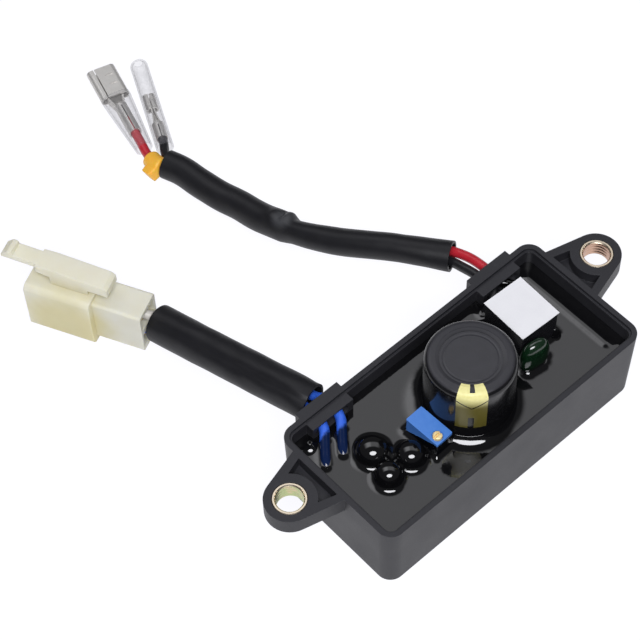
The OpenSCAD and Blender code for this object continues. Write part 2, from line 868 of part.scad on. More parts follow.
// The lever pivots on a post over the shroud, with a thumb end behind and a hooked arm in front
module latch_lever() {
    top = shroud_h;
    gap = 2.5;
    back = rear_l - 3.8;
    front = rear_l + shroud_l + 6.8;
    rise = 1.6;
    arm_t = lever_t * 0.7;
    post_a = rear_l + 1.4;
    post_b = rear_l + 11;
    thumb_z = top + gap - 0.9;
    arm_z = top + gap + rise;
    level_z = top + gap + lever_t;
    side_on(lever_w)
        polygon([
            [back, thumb_z], [post_a, thumb_z], [post_a, top - 0.4], [post_b, top - 0.4],
            [post_b, top + gap], [post_b + 3.4, top + gap + 0.6], [post_b + 3.4, level_z + 0.7],
            [post_b, level_z + 0.9], [back + 1, level_z], [back, level_z - 0.8],
        ]);
    side_on(arm_w)
        polygon([
            [post_b + 1, level_z - arm_t + 0.5], [front, arm_z], [front, arm_z + arm_t * 0.5],
            [front - 1.8, arm_z + arm_t + 1], [front - 2.8, arm_z + arm_t + 1],
            [front - 3.2, arm_z + arm_t], [post_b + 1, level_z + 0.7],
        ]);
}

// A side profile, drawn in Y and Z, with its thickness centred on X
module side_on(w) {
    translate([w / 2, 0, 0])
        rotate([90, 0, -90])
            mirror([1, 0, 0])
                linear_extrude(w)
                    children();
}

module connector_housing() {
    cavity_w = shroud_w - 2 * shroud_wall;
    cavity_h = shroud_h - 2 * shroud_wall;
    color("#e8e2c4")
        at_connector()
            difference() {
                union() {
                    translate([0, 0, contact_z])
                        along_y(rear_l + 1, rear_w, rear_h, 0.8);
                    translate([0, rear_l, shroud_h / 2])
                        along_y(shroud_l, shroud_w, shroud_h, 1.6);
                    latch_lever();
                }
                translate([0, rear_l + web_t, shroud_h / 2])
                    along_y(shroud_l, cavity_w, cavity_h, 0.9);
                for (s = [-1, 1])
                    translate([-channel_w / 2, -past, contact_z + s * contact_pitch / 2 - channel_h / 2])
                        cube([channel_w, rear_l + web_t + 2 * past, channel_h]);
            }
}

// A tab contact: wire barrel, shoulder and flat tab with a pointed tip
module connector_contact(s) {
    barrel_d = 3.6;
    barrel_l = 6.5;
    tip = rear_l + shroud_l - 3;
    color("#d5c28a")
        at_connector()
            translate([0, 0, contact_z + s * contact_pitch / 2]) {
                translate([0, 1.2, 0])
                    rotate([-90, 0, 0])
                        difference() {
                            cylinder(d = barrel_d, h = barrel_l, $fn = 32);
                            translate([0, 0, -past])
                                cylinder(d = wire_d + 4 * fit, h = barrel_l + past - 1, $fn = 32);
                        }
                translate([0, 0, -tab_t / 2])
                    linear_extrude(tab_t)
                        polygon([
                            [-barrel_d / 2, 7.2], [barrel_d / 2, 7.2], [tab_w / 2, 9.5],
                            [tab_w / 2, tip - 1.2], [tab_w / 2 - 1.2, tip], [1.2 - tab_w / 2, tip],
                            [-tab_w / 2, tip - 1.2], [-tab_w / 2, 9.5],
                        ]);
            }
}

// Receptacles

module at_terminal(at, turn) {
    translate([at.x, at.y, terminal_z])
        rotate([0, 0, turn])
            children();
}

// Gap left between the two edges of a rolled strip
seam_w = 0.3;

// Section of a receptacle: strip rolled over from both sides until its edges almost meet on top
module rolled_section(w, t, seam) {
    r = t / 2 - 0.05;
    difference() {
        translate([0, t / 2])
            rounded_rect(w, t, r);
        translate([0, t / 2])
            rounded_rect(w - 2 * sheet_t, t - 2 * sheet_t, r - sheet_t);
        translate([seam - seam_w / 2, t - sheet_t - 0.2])
            square([seam_w, sheet_t + past]);
    }
}

// Wire barrel at the rear, an open tapering neck and the rolled receptacle in front
module receptacle(w, t, seam, box, neck, barrel, barrel_d) {
    low = -barrel_d / 2;
    neck_h = 0.6 * barrel_d;
    rear_half = barrel_d / 2 - 0.5;
    front_half = w / 2 - t / 2 - 0.2;
    front = barrel + neck;
    rotate([-90, 0, 0])
        difference() {
            cylinder(d = barrel_d, h = barrel, $fn = 32);
            translate([0, 0, -past])
                cylinder(d = wire_d + 4 * fit, h = barrel + past - 0.6, $fn = 32);
            translate([-seam_w / 2, -barrel_d, -past])
                cube([seam_w, barrel_d, barrel + past - 1]);
        }
    translate([0, 0, low])
        difference() {
            linear_extrude(neck_h)
                polygon([
                    [-rear_half, barrel - 0.5], [rear_half, barrel - 0.5], [front_half, front + 0.2],
                    [-front_half, front + 0.2],
                ]);
            translate([0, 0, sheet_t])
                linear_extrude(neck_h)
                    polygon([
                        [sheet_t - rear_half, barrel], [rear_half - sheet_t, barrel],
                        [front_half - sheet_t, front + past], [sheet_t - front_half, front + past],
                    ]);
        }
    translate([0, front + box, low])
        rotate([90, 0, 0])
            linear_extrude(box)
                rolled_section(w, t, seam);
}

spade_box = 10.4;
spade_neck = 3.4;
spade_barrel = 10;
spade_t = 2.6;
spade_barrel_d = 3.4;
spade_seam = 2 - spade_w / 2;
dent = [2.1, 1.2, 0.2];
small_box = 5;
small_neck = 5.4;
small_barrel = 5;
small_t = 2;
small_barrel_d = 3.1;
small_sleeve_rear = -3;
small_sleeve_l = 29.8;

// The large receptacle, with two shallow dents in its rolled top
module spade_terminal() {
    front = spade_barrel + spade_neck;
    top = spade_t - spade_barrel_d / 2;
    color("#b8babd")
        at_terminal(spade_at, spade_turn)
            difference() {
                receptacle(spade_w, spade_t, spade_seam, spade_box, spade_neck, spade_barrel, spade_barrel_d);
                for (y = [3, 6.2])
                    translate([dent.z, front + y, top - dent.z])
                        cube([dent.x, dent.y, past]);
            }
}

module small_terminal() {
    color("#b8babd")
        at_terminal(small_at, small_turn)
            receptacle(small_w, small_t, 0, small_box, small_neck, small_barrel, small_barrel_d);
}

module oval_to_round(front_w, front_h, rear_d, l) {
    hull() {
        rotate([90, 0, 0])
            cylinder(d = rear_d, h = 0.01, $fn = 32);
        for (s = [-1, 1])
            translate([s * (front_w - front_h) / 2, l, 0])
                rotate([90, 0, 0])
                    cylinder(d = front_h, h = 0.01, $fn = 32);
    }
}

module spade_sleeve() {
    rear = -5.6;
    l = spade_barrel + spade_neck - 0.2 - rear;
    skin = 0.4;
    color("#e9eef2", 0.5)
        at_terminal(spade_at, spade_turn)
            translate([0, rear, 0])
                difference() {
                    oval_to_round(8, 4.6, 4.6, l);
                    translate([0, -past, 0])
                        oval_to_round(8 - 2 * skin, 4.6 - 2 * skin, 4.6 - 2 * skin, l + 2 * past);
                }
}

module small_terminal_sleeve() {
    r = 2.3;
    skin = 0.35;
    tip = 1.4;
    l = small_sleeve_l;
    color("#e9eef2", 0.5)
        at_terminal(small_at, small_turn)
            translate([0, small_sleeve_rear, 0])
                rotate([-90, 0, 0])
                    rotate_extrude()
                        polygon(concat(
                            [[r - skin, 0], [r, 0]],
                            [for (a = [0 : 15 : 75]) [r, l] - tip * [1 - cos(a), 1 - sin(a)]],
                            [for (a = [75 : -15 : 0]) [r - tip, l - tip] + (tip - skin) * [cos(a), sin(a)]]));
}

housing();
mount_bush(-1);  // mount_bush_near
mount_bush(1);  // mount_bush_far
circuit_board();
potting_resin();
capacitor_can();
capacitor_sleeve();
capacitor_end_disc();
capacitor_terminals();
trimmer_body();
trimmer_screw();
trimmer_pins();
small_capacitor(0);  // small_capacitor_1
small_capacitor(1);  // small_capacitor_2
small_capacitor(2);  // small_capacitor_3
film_capacitor();
boxed_part();
boxed_part_label();
boxed_part_pins();
thyristor();
diode(0);  // diode_1
diode(1);  // diode_2
diode(2);  // diode_3
diode(3);  // diode_4
resistor(0);  // resistor_1
resistor(1);  // resistor_2
resistor(2);  // resistor_3
blue_wire_upper();
blue_wire_lower();
red_wire();
black_wire();
sleeve_short();
sleeve_long();
connector_housing();
connector_contact(1);  // connector_contact_upper
connector_contact(-1);  // connector_contact_lower
spade_terminal();
spade_sleeve();
small_terminal();
small_terminal_sleeve();
wire_marker();
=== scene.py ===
import math

import bmesh
import bpy
from mathutils import Matrix, Vector, geometry, noise


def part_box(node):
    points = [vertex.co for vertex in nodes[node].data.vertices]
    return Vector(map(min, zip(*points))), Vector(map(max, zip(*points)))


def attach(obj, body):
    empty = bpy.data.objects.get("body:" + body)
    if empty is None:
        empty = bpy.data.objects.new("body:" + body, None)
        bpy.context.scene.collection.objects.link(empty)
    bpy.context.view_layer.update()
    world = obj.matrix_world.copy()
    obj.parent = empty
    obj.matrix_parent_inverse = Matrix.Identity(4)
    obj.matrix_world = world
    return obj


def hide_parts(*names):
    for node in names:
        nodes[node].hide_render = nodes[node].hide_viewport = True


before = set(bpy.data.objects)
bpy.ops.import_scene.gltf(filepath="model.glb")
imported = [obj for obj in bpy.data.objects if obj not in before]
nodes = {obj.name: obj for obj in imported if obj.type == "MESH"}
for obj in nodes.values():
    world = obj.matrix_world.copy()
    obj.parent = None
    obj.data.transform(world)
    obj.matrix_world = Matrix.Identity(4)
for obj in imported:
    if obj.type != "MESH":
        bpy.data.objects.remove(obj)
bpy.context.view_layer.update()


# View: the camera stands high over the near ear and looks along the tray to its leads.
# A long lens keeps the tray's walls almost parallel.
mm = 0.001
view_turn, view_rise, view_roll = (math.radians(a) for a in (-40.218, 55.823, -2.293))
view_from = Vector((-178.197, -162.504, 400.483)) * mm
view_lens, view_sensor = 113.79, 36

back = Vector((math.sin(view_turn) * math.cos(view_rise), -math.cos(view_turn) * math.cos(view_rise),
               math.sin(view_rise)))
right = Vector((math.cos(view_turn), math.sin(view_turn), 0))
up = back.cross(right)
level = right * math.cos(view_roll) + up * math.sin(view_roll)
upright = up * math.cos(view_roll) - right * math.sin(view_roll)
lens = bpy.data.cameras.new("view")
lens.lens = view_lens
lens.sensor_width = view_sensor
camera = bpy.data.objects.new("view", lens)
camera.matrix_world = Matrix.Translation(view_from) @ Matrix((level, upright, back)).transposed().to_4x4()
bpy.context.scene.collection.objects.link(camera)
bpy.context.scene.camera = camera
bpy.context.scene.view_settings.view_transform = "Standard"


# Leads: stranded copper in soft coloured insulation, soldered to the board and drawn out through
# the tray's two slots. Blue pairs go to the connector, red and black to the push-on terminals.
class Field:
    """A value that varies over a surface: sums on it add Math nodes to its finish."""

    def __init__(self, tree, socket=None):
        self.tree = tree
        self.socket = socket

    def node(self, kind, settings=None, sockets=None, out=0):
        """Any node, by its type: settings are set first, then the values or links of its sockets."""
        made = self.tree.nodes.new("ShaderNode" + kind)
        for name, value in (settings or {}).items():
            if name == "stops":
                while len(made.color_ramp.elements) < len(value):
                    made.color_ramp.elements.new(0.5)
                for element, (place, colour) in zip(made.color_ramp.elements, value):
                    element.position = place
                    element.color = colour
            else:
                setattr(made, name, value)
        for name, value in (sockets or {}).items():
            if isinstance(value, Field):
                self.tree.links.new(value.socket, made.inputs[name])
            else:
                made.inputs[name].default_value = value
        return Field(self.tree, made.outputs[out])

    def math(self, operation, *others):
        """A Math node on this value and the others."""
        return self.node("Math", {"operation": operation}, dict(enumerate((self,) + others)))

    def __add__(self, other):
        return self.math("ADD", other)

    __radd__ = __add__

    def __sub__(self, other):
        return self.math("SUBTRACT", other)

    def __rsub__(self, other):
        return self.node("Math", {"operation": "SUBTRACT"}, {0: other, 1: self})

    def __mul__(self, other):
        return self.math("MULTIPLY", other)

    __rmul__ = __mul__

    def __pow__(self, other):
        return self.math("POWER", other)

    def __lt__(self, other):
        return self.math("LESS_THAN", other)

    def __gt__(self, other):
        return self.math("GREATER_THAN", other)

    def __abs__(self):
        return self.math("ABSOLUTE")

    def step(self, low, high):
        """From 0 at low to 1 at high, smoothly."""
        return self.node("MapRange", {"interpolation_type": "SMOOTHSTEP"},
                         {"Value": self, "From Min": low, "From Max": high})

    def mix(self, a, b):
        """Colour a where this is 0, colour b where it is 1."""
        return self.node("Mix", {"data_type": "RGBA"}, {0: self, 6: a, 7: b}, 2)


class Surface:
    """Where a finish is painted: its place in millimetres, and the patterns laid on it."""

    def __init__(self, tree):
        self.root = Field(tree)
        metres = self.root.node("TexCoord", out="Object")
        self.place = self.root.node("VectorMath", {"operation": "SCALE"}, {0: metres, "Scale": 1 / mm})
        self.x, self.y, self.z = (self.root.node("SeparateXYZ", None, {0: self.place}, i) for i in range(3))

    def mottle(self, size, detail=2, stretch=(1, 1, 1)):
        """Cloudy pattern with patches about so many millimetres across, centred on 0.5."""
        stretched = self.root.node("VectorMath", {"operation": "MULTIPLY"}, {0: self.place, 1: stretch})
        return self.root.node("TexNoise", None, {"Vector": stretched, "Scale": 1 / size, "Detail": detail})

    def relief(self, height, depth, strength=1):
        """Normal of a surface that stands out by so many millimetres where height is 1."""
        return self.root.node("Bump", None, {"Strength": strength, "Distance": depth * mm, "Height": height},
                              "Normal")

    def away(self, point):
        """Distance in millimetres from a point."""
        return self.root.node("VectorMath", {"operation": "DISTANCE"}, {0: self.place, 1: point}, "Value")


def ink(r, g, b):
    """A colour as seen on a screen, 0 to 255, as the light it stands for."""
    return tuple(((c / 255 + 0.055) / 1.055) ** 2.4 if c > 10 else c / 255 / 12.92 for c in (r, g, b)) + (1,)


def finish(name, paint, **fixed):
    """A material: paint gives the sockets that vary, fixed the ones that are the same all over."""
    made = bpy.data.materials.new(name)
    made.use_nodes = True
    shader = made.node_tree.nodes["Principled BSDF"]
    for socket, value in fixed.items():
        shader.inputs[socket.replace("_", " ")].default_value = value
    for socket, value in paint(Surface(made.node_tree)).items():
        if isinstance(value, Field):
            made.node_tree.links.new(value.socket, shader.inputs[socket])
        else:
            shader.inputs[socket].default_value = value
    return made


def piece(name, points, faces, material, replaces=(), crease=40):
    """A mesh piece of the object, in millimetres, that rides on the regulator."""
    mesh = bpy.data.meshes.new(name)
    mesh.from_pydata([Vector(p) * mm for p in points], [], faces)
    shape = bmesh.new()
    shape.from_mesh(mesh)
    bmesh.ops.recalc_face_normals(shape, faces=shape.faces)
    shape.to_mesh(mesh)
    shape.free()
    mesh.polygons.foreach_set("use_smooth", [True] * len(mesh.polygons))
    mesh.set_sharp_from_angle(angle=math.radians(crease))
    mesh.materials.append(material)
    made = bpy.data.objects.new(name, mesh)
    bpy.context.scene.collection.objects.link(made)
    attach(made, "regulator")
    if replaces:
        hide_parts(*replaces)
    return made


def smooth_route(points, gap):
    """Points about so far apart on a smooth curve through the given ones."""
    p = [Vector(q) for q in points]
    fine = 40
    spans = [(b - a).length for a, b in zip(p, p[1:])]
    slopes = [(p[1] - p[0]) / spans[0]]
    for i in range(1, len(p) - 1):
        before, after = spans[i - 1], spans[i]
        came, goes = (p[i] - p[i - 1]) / before, (p[i + 1] - p[i]) / after
        slopes.append((came * after + goes * before) / (before + after))
    slopes.append((p[-1] - p[-2]) / spans[-1])
    dense = [p[0]]
    for i, span in enumerate(spans):
        dense += geometry.interpolate_bezier(
            p[i], p[i] + slopes[i] * span / 3, p[i + 1] - slopes[i + 1] * span / 3, p[i + 1], fine)[1:]
    walked = [0]
    for a, b in zip(dense, dense[1:]):
        walked.append(walked[-1] + (b - a).length)
    count = max(2, round(walked[-1] / gap))
    even, k = [], 0
    for i in range(count + 1):
        goal = walked[-1] * i / count
        while k < len(dense) - 2 and walked[k + 1] < goal:
            k += 1
        share = (goal - walked[k]) / (walked[k + 1] - walked[k])
        even.append(dense[k].lerp(dense[k + 1], min(share, 1)))
    return even


def swept(path, sides, outer, bore=None):
    """Rings along a path. outer and bore give a radius for a share of the way and an angle."""
    points, faces, side = [], [], None
    rows = len(path)
    skins = [outer] if bore is None else [outer, bore]
    for i, p in enumerate(path):
        along = (path[min(i + 1, rows - 1)] - path[max(i - 1, 0)]).normalized()
        if side is None:
            side = along.cross(Vector((0, 0, 1))) if abs(along.z) < 0.9 else Vector((1, 0, 0))
        side = (side - along * side.dot(along)).normalized()
        over = side.cross(along)
        for radius in skins:
            for k in range(sides):
                a = 2 * math.pi * k / sides
                points.append(p + radius(i / (rows - 1), a) * (math.cos(a) * side + math.sin(a) * over))
    ring = sides * len(skins)
    for s in range(len(skins)):
        for i in range(rows - 1):
            for k in range(sides):
                a, b = i * ring + s * sides + k, i * ring + s * sides + (k + 1) % sides
                faces.append((a, b, b + ring, a + ring))
    last = (rows - 1) * ring
    if bore is None:
        faces.append(tuple(range(sides)))
        faces.append(tuple(range(last, last + sides)))
    else:
        for first in (0, last):
            for k in range(sides):
                n = (k + 1) % sides
                faces.append((first + k, first + n, first + sides + n, first + sides + k))
    return points, faces


def beside(route, off, turn_a, turn_b):
    """A route's points moved off its line, turning from one angle to the other on the way."""
    moved = []
    for i, p in enumerate(route):
        along = (Vector(route[min(i + 1, len(route) - 1)]) - Vector(route[max(i - 1, 0)])).normalized()
        side = Vector((along.y, -along.x, 0)).normalized()
        over = side.cross(along)
        a = math.radians(turn_a + (turn_b - turn_a) * i / (len(route) - 1))
        moved.append(tuple(Vector(p) + off * (math.cos(a) * side + math.sin(a) * over)))
    return moved


def ahead(at, turn, y, z):
    """A point so far along the axis of a connector or terminal."""
    return (at[0] - math.sin(math.radians(turn)) * y, at[1] + math.cos(math.radians(turn)) * y, z)


board_top = 9.6
slot_level = 18.15
slot_out = 19.5
lead_d, lead_gap, lead_sides = 2.4, 0.8, 20
blue_apart, red_apart = 1.9, 1.45
blue_upper_in = [(-35.9, 5, board_top), (-35.9, 5, 11), (-35.7, 5.3, 13.1), (-35.2, 6.2, 14.9),
                 (-34.2, 7.7, 16.1), (-32.6, 9.7, 16.8), (-31, 11.6, 17.4), (-29.5, 13.4, 17.9),
                 (-28.7, 15.2, slot_level)]
blue_lower_in = [(-31.1, 4.7, board_top), (-31.1, 4.7, 11), (-30.9, 5, 13.1), (-30.4, 5.9, 14.9),
                 (-29.4, 7.4, 16.1), (-27.8, 9.4, 16.8), (-26.2, 11.3, 17.4), (-24.8, 13.2, 17.9),
                 (-24.1, 15.2, slot_level)]
red_in = [(30.6, 10.4, board_top), (30.6, 10.4, 13), (30, 11.4, 15.6), (28.6, 13, 17.6),
          (27.2, 15, slot_level)]
black_in = [(18.6, 12.4, board_top), (18.6, 12.4, 13), (19.2, 12.4, 15.2), (20.7, 12.5, 17),
            (22.5, 13, 17.9), (24, 14.6, slot_level)]
short_route = [(-26.4, 20.7, 17.3), (-26.9, 24, 16.7), (-28.6, 33, 15), (-30.6, 44.5, 12.5),
               (-32.6, 56.5, 9.9), (-34.2, 66, 7.8)]
long_route = [(25, 29, 16.2), (18.5, 40, 14.8), (10, 55, 11), (7, 62.5, 9.2), (5.6, 68.5, 7.6),
              (4.5, 74.5, 6), (3.7, 81.5, 4.8), (2.5, 87.5, 4.1), (1.5, 94, 3.8), (0.6, 100.5, 3.8),
              (-0.7, 104.4, 3.8)]
red_out = [(27.2, 20.5, slot_level), (27.2, 25, 17.3)]
black_out = [(24.3, 20.5, slot_level), (24, 24.6, 17.3)]
connector_at, connector_turn, contact_level, contact_half = (-35.8, 68), 26.5, 7.8, 3.1
spade_at, spade_turn = (0.6, 118.6), -16.4
small_at, small_turn = (4.3, 112.4), -25.8
terminal_level = 2.3
lead_routes = {
    "blue_upper": blue_upper_in + [(-28.7, slot_out, slot_level)] + beside(short_route, blue_apart, 180, 90)
    + [ahead(connector_at, connector_turn, y, contact_level + contact_half) for y in (1, 5.5)],
    "blue_lower": blue_lower_in + [(-24.1, slot_out, slot_level)] + beside(short_route, blue_apart, 0, -90)
    + [ahead(connector_at, connector_turn, y, contact_level - contact_half) for y in (1, 5.5)],
    "red": red_in + red_out + beside(long_route, red_apart, 0, 180) + [(-2.2, 107.6, 2.9)]
    + [ahead(spade_at, spade_turn, y, terminal_level) for y in (-8, -3, 5)],
    "black": black_in + black_out + beside(long_route, red_apart, 180, 360) + [(1.8, 108.2, 2.8)]
    + [ahead(small_at, small_turn, y, terminal_level) for y in (-1.5, 4)],
}


bare_strand = ink(206, 202, 194)
beyond_all = 200


def insulation(name, colour, shade, wet, drowned, stripped=beyond_all):
    """Soft coloured plastic, a little cloudy; the resin has run up the part short of wet, along Y,
    and the plastic is stripped off beyond stripped."""
    def paint(on):
        cloud = on.mottle(1.5, 3)
        soaked = 1 - (on.y + 1.5 * on.mottle(1.2)).step(wet + 0.2, wet + 1.4)
        dry = (on.y > stripped).mix(cloud.mix(shade, colour), bare_strand)
        rough = 0.28 + 0.2 * cloud
        return {"Base Color": soaked.mix(dry, drowned), "Roughness": rough - soaked * rough * 0.8,
                "Normal": on.relief(on.mottle(0.35, 2), 0.02, 0.5)}
    return finish(name, paint, IOR=1.5)


blue, blue_shade, blue_drowned = ink(62, 116, 236), ink(40, 84, 196), ink(14, 30, 66)
lead_finishes = {
    "blue_upper": insulation("lead_blue_upper", blue, blue_shade, 12.2, blue_drowned, 65.6),
    "blue_lower": insulation("lead_blue_lower", blue, blue_shade, 11.1, blue_drowned),
    "red": insulation("lead_red", ink(206, 44, 58), ink(170, 28, 42), 16.6, ink(8, 7, 8)),
    "black": insulation("lead_black", ink(32, 32, 36), ink(18, 18, 21), 12, ink(8, 8, 9)),
}
lead_nodes = {"blue_upper": "blue_wire_upper", "blue_lower": "blue_wire_lower", "red": "red_wire",
              "black": "black_wire"}
lead_paths, leads = {}, {}
for name, route in lead_routes.items():
    lead_paths[name] = smooth_route(route, lead_gap)
    points, faces = swept(lead_paths[name], lead_sides, lambda share, a: lead_d / 2)
    leads[name] = piece("lead_" + name, points, faces, lead_finishes[name],
                        [lead_nodes[name]])


# Sleeves: two lengths of soft black extruded tube pushed over the pairs of leads.
# They lay folded in the packet, so they keep long creases, and the long one is kinked at its bend.
short_r, long_r, sleeve_wall, sleeve_sides = 4.7, 3.75, 0.6, 72
short_length, long_length = 49, 88
short_mouth = [(-26.2, 20.95, 17.25), (-26.72, 22.7, 16.95)]
short_path = smooth_route(short_mouth + short_route[1:], 0.6)
long_path = smooth_route(long_route, 0.35)
groove_turn, groove_half, groove_deep = 2.15, 0.2, 0.42
kink, kink_high = 0.53, 3.4
bent = long_path[round(kink * len(long_path))] + Vector((0, 0, kink_high))
# Each ruck of the kink: height, share of the way past it, length, side of the tube, narrowness
rucks = [(0.6, -0.015, 0.014, 0.8, 4), (0.35, 0.035, 0.018, 1.5, 4), (-0.7, 0.006, 0.008, 1.25, 12)]


def fold(share, a, length, ways, seed):
    """How far the tube has sunk in, 0 to 1: long creases that wander slowly round it."""
    wander = noise.noise(Vector((share * length / 16, seed, 0)))
    crease = math.cos(ways * a + 2.4 * wander + seed)
    dents = noise.noise(Vector((share * length / 5, 1.6 * math.cos(a), 1.6 * math.sin(a) + seed)))
    return 0.5 - 0.5 * crease + 0.5 * dents


def bump(x, at, width):
    """A smooth hump, 1 high at its middle."""
    return math.exp(-((x - at) / width) ** 2)


def short_skin(share, a):
    """Pressed a little flat at the tray's end, with one groove that fades towards the connector."""
    slack = 0.25 + 0.75 * math.sin(math.pi * min(max(share, 0.04), 0.96))
    pressed = 0.3 * max(0, 1 - share / 0.16) ** 2 * math.sin(a) ** 2
    groove = groove_deep * (1 - 0.8 * share) * bump(a, groove_turn, groove_half)
    return (short_r - 0.25 * slack * fold(share, a, short_length, 3, 2.2) - groove) * (1 - pressed)


def long_skin(share, a):
    """Flat beside the kink towards the tray, and rucked up on top of the kink itself."""
    before = 0.5 * min(share / 0.15, 1) + 0.5 * min(max((share - 0.36) / 0.12, 0), 1)
    before *= min(max((kink - share) / 0.04, 0), 1)
    flank = math.cos(a - 0.56)
    flat = before * (0.28 if flank > 0 else 0.12) * flank ** 2
    ruck = sum(high * bump(share, kink + past, width) * max(0, math.cos(a - turn)) ** narrow
               for high, past, width, turn, narrow in rucks)
    return (long_r - 0.12 * fold(share, a, long_length, 2, 5.1)) * (1 - flat) + ruck


def vinyl(on):
    """Dull black, drawn lengthwise, and stretched pale over the kink."""
    cloud = on.mottle(4, 3)
    streak = on.mottle(0.5, 2, (1, 0.12, 1))
    grain = on.mottle(0.16, 2)
    pale = 1 - (on.away(bent) + streak).step(1.6, 4.4)
    base = cloud.mix(ink(18, 18, 21), ink(28, 28, 32))
    return {"Base Color": (pale * 0.8).mix(base, ink(70, 71, 74)), "Roughness": 0.36 + 0.18 * streak,
            "Normal": on.relief(streak * 0.7 + grain * 0.3, 0.035, 0.6)}


sleeving = finish("sleeving", vinyl, IOR=1.5, Specular_IOR_Level=0.32)
points, faces = swept(short_path, sleeve_sides, short_skin,
                      lambda share, a: short_skin(share, a) - sleeve_wall)
short_sleeve = piece("short_sleeve", points, faces, sleeving, ["sleeve_short"])
points, faces = swept(long_path, sleeve_sides, long_skin,
                      lambda share, a: long_skin(share, a) - sleeve_wall)
long_sleeve = piece("long_sleeve", points, faces, sleeving, ["sleeve_long"])


# Connector: natural nylon, moulded in one shot with its latch lever, slightly see-through.
# Two brass tab contacts, crimped on the blue leads, are clipped in from behind.
heart = ahead(connector_at, connector_turn, 19, 5)


def dress(node, material, edge=0.0, steps=3, sharp=30):
    """Gives a solid its finish, and rounds its edges by so many millimetres."""
    solid = nodes[node]
    solid.data.materials[0] = material
    if edge:
        weld = solid.modifiers.new("weld", "WELD")
        weld.merge_threshold = 0.002 * mm
        flats = solid.modifiers.new("flats", "DECIMATE")
        flats.decimate_type = "DISSOLVE"
        flats.angle_limit = math.radians(0.4)
        bevel = solid.modifiers.new("edges", "BEVEL")
        bevel.width = edge * mm
        bevel.segments = steps
        bevel.limit_method = "ANGLE"
        bevel.angle_limit = math.radians(sharp)
        bevel.miter_outer = "MITER_ARC"
        solid.modifiers.new("shading", "WEIGHTED_NORMAL")
    return solid


def natural_nylon(on):
    """Painted light: whiter towards the thin edges, where light shines through, and deeper near the heart of
    the block, where the plastic is thick.
    """
    cloud = on.mottle(5, 3)
    flow = on.mottle(1.2, 3, (1, 1, 0.4))
    heart_painted_shade = 1 - (on.away(heart) + 3 * cloud).step(9, 17)
    thin_edge_painted_light = cloud.mix(ink(222, 217, 194), ink(230, 228, 212))
    return {"Base Color": heart_painted_shade.mix(thin_edge_painted_light, cloud.mix(ink(211, 202, 158), ink(220, 211, 170))),
            "Roughness": 0.46 + 0.16 * flow,
            "Normal": on.relief(flow, 0.03, 0.4)}


nylon = finish("nylon", natural_nylon, Subsurface_Weight=0.45, Subsurface_Radius=(1, 0.92, 0.62),
               Subsurface_Scale=4 * mm, IOR=1.5, Specular_IOR_Level=0.35)


def rolled_brass(on):
    lay = on.mottle(0.4, 3, (1, 0.15, 1))
    return {"Base Color": lay.mix(ink(196, 170, 104), ink(226, 204, 140)), "Roughness": 0.24 + 0.16 * lay,
            "Normal": on.relief(lay, 0.01, 0.4)}


brass = finish("contact_brass", rolled_brass, Metallic=1)
connector = dress("connector_housing", nylon, edge=1.3, steps=5)
contacts = [dress("connector_contact_" + side, brass, edge=0.12, steps=2) for side in ("upper", "lower")]


# Terminals: tin-plated brass strip, stamped and rolled to grip a tab, crimped on the red and black leads.
# A clear soft sleeve is pushed over each crimp, and a yellow marker ring sits on the red lead.
def tinned_strip(on):
    lay = on.mottle(0.5, 3, (1, 0.2, 1))
    stain = on.mottle(2.5, 3)
    return {"Base Color": (stain * 0.7 + lay * 0.3).mix(ink(196, 193, 188), ink(228, 226, 222)),
            "Roughness": 0.34 + 0.22 * lay, "Normal": on.relief(lay, 0.02, 0.5)}


tinned = finish("tinned", tinned_strip, Metallic=0.65)
spade = dress("spade_terminal", tinned, edge=0.1, steps=2)
small = dress("small_terminal", tinned, edge=0.1, steps=2)


def clear_plastic(on):
    """Seen through from the front, and milky where it turns away."""
    haze = on.mottle(1.4, 3)
    edge = on.root.node("LayerWeight", None, {"Blend": 0.4}, "Facing")
    return {"Roughness": 0.08 + 0.15 * haze, "Alpha": 0.03 + 0.1 * haze + 0.7 * edge ** 2.5,
            "Normal": on.relief(haze, 0.05, 0.4)}


clear_sleeve = finish("clear_sleeve", clear_plastic, Base_Color=ink(156, 155, 161), IOR=1.5)
spade_cover = dress("spade_sleeve", clear_sleeve)
small_cover = dress("small_terminal_sleeve", clear_sleeve)


def soft_yellow(on):
    cloud = on.mottle(1.1, 3)
    return {"Base Color": cloud.mix(ink(246, 176, 44), ink(254, 198, 74)), "Roughness": 0.34 + 0.2 * cloud,
            "Normal": on.relief(cloud, 0.05, 0.4)}


tag_turn, tag_from, tag_to, tag_bore = math.radians(200), 104.1, 110.3, 1.25
tag_ring, tag_swell, tag_long, tag_half, tag_soft = 1.35, 1.0, 3.7, 1.9, 9


def tag_skin(share, a):
    """A ring over the lead with a square lobe folded on its rear half."""
    ring = tag_ring + tag_swell * min(1, tag_soft * share, tag_soft * (1 - share)) ** 0.5
    off = abs((a - tag_turn + math.pi) % (2 * math.pi) - math.pi)
    square = min(tag_long / math.cos(off), tag_half / max(math.sin(off), 0.01)) if off < 1.5 else 0
    lobe = min(1, tag_soft * max(share - 0.08, 0), tag_soft * max(0.66 - share, 0)) ** 0.5
    return ring + max(square - ring, 0) * lobe


marker_yellow = finish("marker_yellow", soft_yellow, Subsurface_Weight=0.2, Subsurface_Scale=1 * mm)
tag_path = smooth_route([p for p in lead_paths["red"] if tag_from < p.y < tag_to], 0.15)
points, faces = swept(tag_path, 48, tag_skin, lambda share, a: tag_bore)
marker = piece("marker_tag", points, faces, marker_yellow, ["wire_marker"], crease=60)


# Harness: the leads lie loose in two bundles, one for each slot of the tray, each from its joint on the
# board to a crimp.
# Here each lead's length and its points in metres are worked out, and not kept.
for name, path in lead_paths.items():
    length = sum((b - a).length for a, b in zip(path, path[1:])) * mm
    [tuple(p * mm) for p in path]


